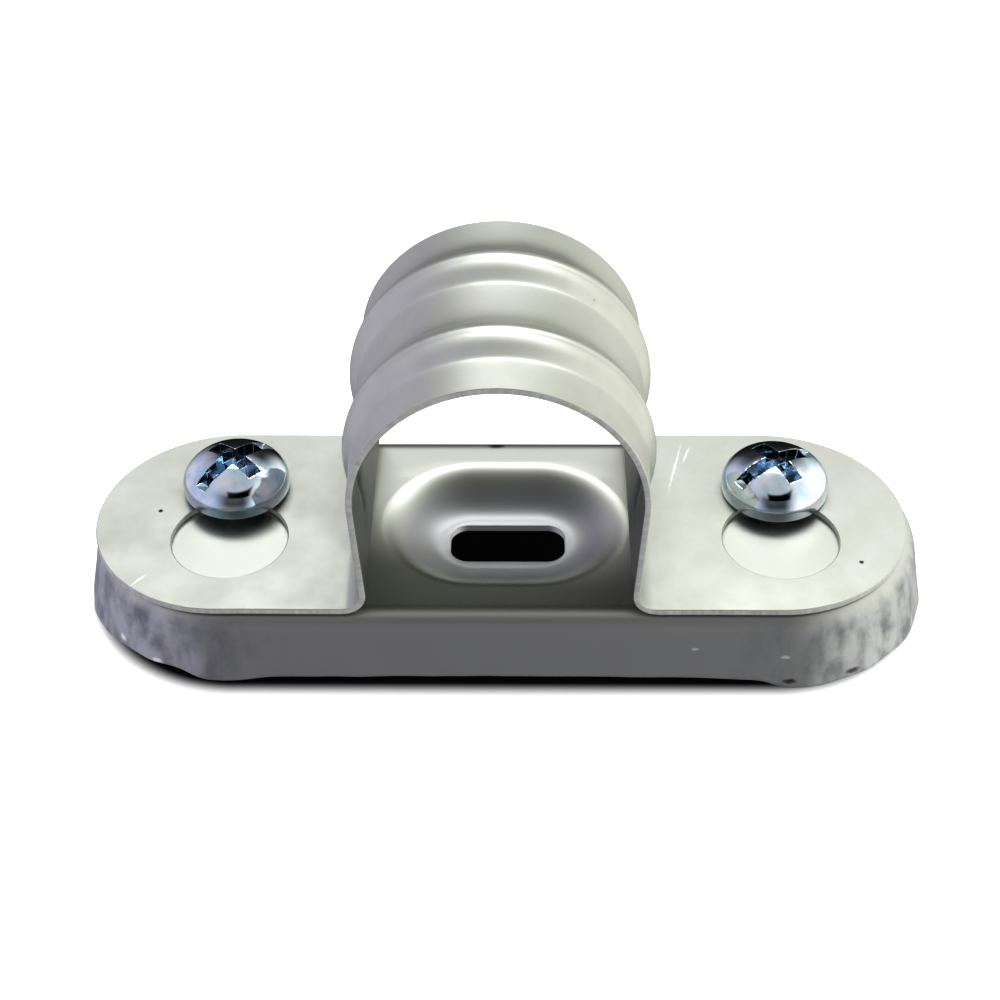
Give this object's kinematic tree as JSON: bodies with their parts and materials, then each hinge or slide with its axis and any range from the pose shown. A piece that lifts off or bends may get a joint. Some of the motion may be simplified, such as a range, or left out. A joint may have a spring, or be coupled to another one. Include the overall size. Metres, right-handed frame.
{
  "type": "spacer bar conduit saddle",
  "caption": "Steel saddle for 20 mm conduit: a ribbed strap hooks by keyholes under slack screws on a pressed spacer tray that is fixed to the wall through an oval dish.",
  "frame": {"origin": "centre of the underside of the tray's rim, on the wall plane", "axes": "+X along the saddle from foot to foot, +Y along the conduit from the wide ends of the keyholes to the narrow ends, +Z away from the wall"},
  "size_m": [0.0648, 0.0232, 0.0278],
  "materials": {
    "galvanised_tray": "satin zinc coat on drawn sheet steel, mottled and scuffed where the ends were drawn",
    "galvanised_strap": "satin zinc coat on folded sheet steel with bright cut edges",
    "bright_zinc_screw": "bright blue-white zinc plate"
  },
  "bodies": {
    "base": {"spacer_base": "galvanised_tray"},
    "strap": {"saddle_strap": "galvanised_strap"},
    "left_screw": {"left_screw": "bright_zinc_screw"},
    "right_screw": {"right_screw": "bright_zinc_screw"}
  },
  "joints": [
    {"name": "strap_slide", "type": "slide", "parent": "base", "child": "strap", "axis": [0, 1, 0], "range_m": [0, 0.0057]},
    {"name": "left_screw_turn", "type": "hinge", "parent": "base", "child": "left_screw", "pos_m": [-0.02085, 0.0034, 0.0061], "axis": [0, 0, 1], "continuous": true},
    {"name": "right_screw_turn", "type": "hinge", "parent": "base", "child": "right_screw", "pos_m": [0.02085, 0.0034, 0.0061], "axis": [0, 0, 1], "continuous": true}
  ]
}
